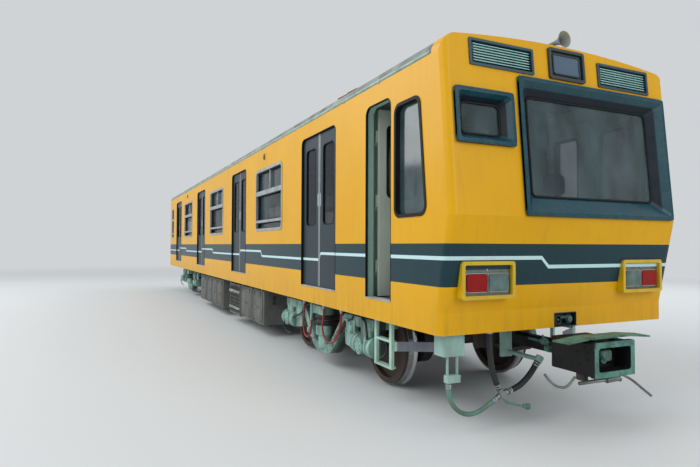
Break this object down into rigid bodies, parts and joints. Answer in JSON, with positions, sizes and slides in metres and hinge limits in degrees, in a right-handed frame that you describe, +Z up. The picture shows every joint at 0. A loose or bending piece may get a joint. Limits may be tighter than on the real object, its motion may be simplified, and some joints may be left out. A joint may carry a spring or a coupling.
{
  "type": "metro car",
  "caption": "Metro motor car with a raked cab front, sliding twin-leaf doors, transom windows, bogies with air springs, hinged cab doors and swinging couplers.",
  "frame": {"origin": "on the floor under the middle of the car, at the wheel flanges' lowest points", "axes": "+X along the car towards the cab, +Y to the car's left, +Z up"},
  "size_m": [17.44, 2.616, 3.672],
  "materials": {
    "body_yellow": "gloss, worn",
    "roof_paint": "matt, dusty",
    "window_frame": "satin, scratched",
    "front_frame": "satin",
    "sign_case": "satin",
    "lamp_bezel": "gloss",
    "lamp_lens": "clear gloss",
    "pane_glass": "clear, dusty",
    "gasket": "matt",
    "door_slate": "satin, worn",
    "sill_metal": "worn tread",
    "cab_door_paint": "satin",
    "inner_paint": "satin",
    "frame_black": "matt, dusty",
    "rack_metal": "dull",
    "bogie_mint": "matt, grimy",
    "spring_rubber": "matt",
    "motor_iron": "matt, oily",
    "wheel_steel": "rusty web, bright tread",
    "seat_plastic": "matt",
    "rail_steel": "polished",
    "desk_plastic": "matt",
    "seat_fabric": "woven",
    "collector_metal": "matt",
    "fitting_metal": "dull",
    "hose_rubber_green": "matt",
    "hose_rubber_black": "matt",
    "hose_rubber_red": "matt"
  },
  "bodies": {
    "car_body": {"side_wall_right": "body_yellow", "side_wall_left": "body_yellow", "front_mask": "body_yellow", "rear_wall": "body_yellow", "roof": "roof_paint", "roof_fittings": "roof_paint", "side_window_frames": "window_frame", "front_window_frames": "front_frame", "front_louvres": "front_frame", "route_sign_box": "sign_case", "headlamp_bezels": "lamp_bezel", "lamp_units": "lamp_lens", "window_glass": "pane_glass", "cab_window_gaskets": "gasket", "door_sills": "sill_metal", "cab_bulkhead": "inner_paint", "door_hinges": "inner_paint", "underframe": "frame_black", "coupler_pockets": "frame_black", "equipment_cases": "frame_black", "air_reservoirs": "frame_black", "resistor_rack": "rack_metal", "cab_steps": "bogie_mint", "bench_seats": "seat_plastic", "grab_rails": "rail_steel", "cab_desk": "desk_plastic", "driver_seat": "seat_fabric", "collector_base": "collector_metal", "hose_fittings": "fitting_metal", "hose_green": "hose_rubber_green", "hose_black_short": "hose_rubber_black", "hose_black_long": "hose_rubber_black", "hose_red_fore": "hose_rubber_red", "hose_red_aft": "hose_rubber_red"},
    "bogie_front": {"bogie_frame_front": "bogie_mint", "bogie_bolster_front": "bogie_mint", "air_springs_front": "spring_rubber", "traction_motors_front": "motor_iron"},
    "bogie_rear": {"bogie_frame_rear": "bogie_mint", "bogie_bolster_rear": "bogie_mint", "air_springs_rear": "spring_rubber", "traction_motors_rear": "motor_iron"},
    "axle_1": {"wheelset_1": "wheel_steel"},
    "axle_2": {"wheelset_2": "wheel_steel"},
    "axle_3": {"wheelset_3": "wheel_steel"},
    "axle_4": {"wheelset_4": "wheel_steel"},
    "doors_right_fore": {"door_leaves_right_fore": "door_slate"},
    "doors_right_aft": {"door_leaves_right_aft": "door_slate"},
    "doors_left_fore": {"door_leaves_left_fore": "door_slate"},
    "doors_left_aft": {"door_leaves_left_aft": "door_slate"},
    "right_cab_door": {"cab_door_right": "cab_door_paint"},
    "left_cab_door": {"cab_door_left": "cab_door_paint"},
    "cab_back_door": {"bulkhead_door": "inner_paint"},
    "end_door": {"gangway_door": "inner_paint"},
    "front_coupler": {"coupler_front": "bogie_mint"},
    "rear_coupler": {"coupler_rear": "bogie_mint"},
    "collector_arm": {"collector_lower_arm": "collector_metal"},
    "collector_forearm": {"collector_upper_arm": "collector_metal"},
    "collector_pan": {"collector_head": "collector_metal"}
  },
  "joints": [
    {"name": "bogie_front_swivel", "type": "hinge", "parent": "car_body", "child": "bogie_front", "pos_m": [5.27, 0, 0.76], "axis": [0, 0, 1], "range_deg": [-4, 4]},
    {"name": "bogie_rear_swivel", "type": "hinge", "parent": "car_body", "child": "bogie_rear", "pos_m": [-5.343, 0, 0.76], "axis": [0, 0, 1], "range_deg": [-4, 4]},
    {"name": "axle_1_turn", "type": "hinge", "parent": "bogie_front", "child": "axle_1", "pos_m": [6.47, 0, 0.458], "axis": [0, 1, 0], "continuous": true},
    {"name": "axle_2_turn", "type": "hinge", "parent": "bogie_front", "child": "axle_2", "pos_m": [4.07, 0, 0.458], "axis": [0, 1, 0], "continuous": true},
    {"name": "axle_3_turn", "type": "hinge", "parent": "bogie_rear", "child": "axle_3", "pos_m": [-4.143, 0, 0.458], "axis": [0, 1, 0], "continuous": true},
    {"name": "axle_4_turn", "type": "hinge", "parent": "bogie_rear", "child": "axle_4", "pos_m": [-6.543, 0, 0.458], "axis": [0, 1, 0], "continuous": true},
    {"name": "doors_right_fore_slide", "type": "slide", "parent": "car_body", "child": "doors_right_fore", "axis": [1, 0, 0], "range_m": [0, 0.53]},
    {"name": "doors_right_aft_slide", "type": "slide", "parent": "car_body", "child": "doors_right_aft", "axis": [-1, 0, 0], "range_m": [0, 0.53]},
    {"name": "doors_left_fore_slide", "type": "slide", "parent": "car_body", "child": "doors_left_fore", "axis": [1, 0, 0], "range_m": [0, 0.53]},
    {"name": "doors_left_aft_slide", "type": "slide", "parent": "car_body", "child": "doors_left_aft", "axis": [-1, 0, 0], "range_m": [0, 0.53]},
    {"name": "right_cab_door_hinge", "type": "hinge", "parent": "car_body", "child": "right_cab_door", "pos_m": [6.88, -1.155, 1.9], "axis": [0, 0, 1], "range_deg": [-90, 0]},
    {"name": "left_cab_door_hinge", "type": "hinge", "parent": "car_body", "child": "left_cab_door", "pos_m": [6.88, 1.155, 1.9], "axis": [0, 0, 1], "range_deg": [-90, 0]},
    {"name": "cab_back_door_hinge", "type": "hinge", "parent": "car_body", "child": "cab_back_door", "pos_m": [6.747, 0.323, 1.9], "axis": [0, 0, 1], "range_deg": [-90, 0]},
    {"name": "end_door_hinge", "type": "hinge", "parent": "car_body", "child": "end_door", "pos_m": [-8.14, 0.383, 1.9], "axis": [0, 0, 1], "range_deg": [0, 90]},
    {"name": "front_coupler_swing", "type": "hinge", "parent": "car_body", "child": "front_coupler", "pos_m": [7.58, 0, 0.644], "axis": [0, 0, 1], "range_deg": [-7, 7]},
    {"name": "rear_coupler_swing", "type": "hinge", "parent": "car_body", "child": "rear_coupler", "pos_m": [-7.58, 0, 0.644], "axis": [0, 0, 1], "range_deg": [-7, 7]},
    {"name": "collector_raise", "type": "hinge", "parent": "car_body", "child": "collector_arm", "pos_m": [4.84, 0, 3.488], "axis": [0, -1, 0], "range_deg": [0, 45]},
    {"name": "collector_knee", "type": "hinge", "parent": "collector_arm", "child": "collector_forearm", "pos_m": [5.91, 0, 3.512], "axis": [0, -1, 0], "range_deg": [-90, 0]},
    {"name": "collector_pan_level", "type": "hinge", "parent": "collector_forearm", "child": "collector_pan", "pos_m": [4.94, 0, 3.586], "axis": [0, -1, 0], "range_deg": [0, 45]}
  ],
  "couplings": [
    {"joint": "doors_right_aft_slide", "follows": "doors_right_fore_slide", "ratio": 1},
    {"joint": "doors_left_aft_slide", "follows": "doors_left_fore_slide", "ratio": 1},
    {"joint": "collector_knee", "follows": "collector_raise", "ratio": -2},
    {"joint": "collector_pan_level", "follows": "collector_raise", "ratio": 1}
  ]
}
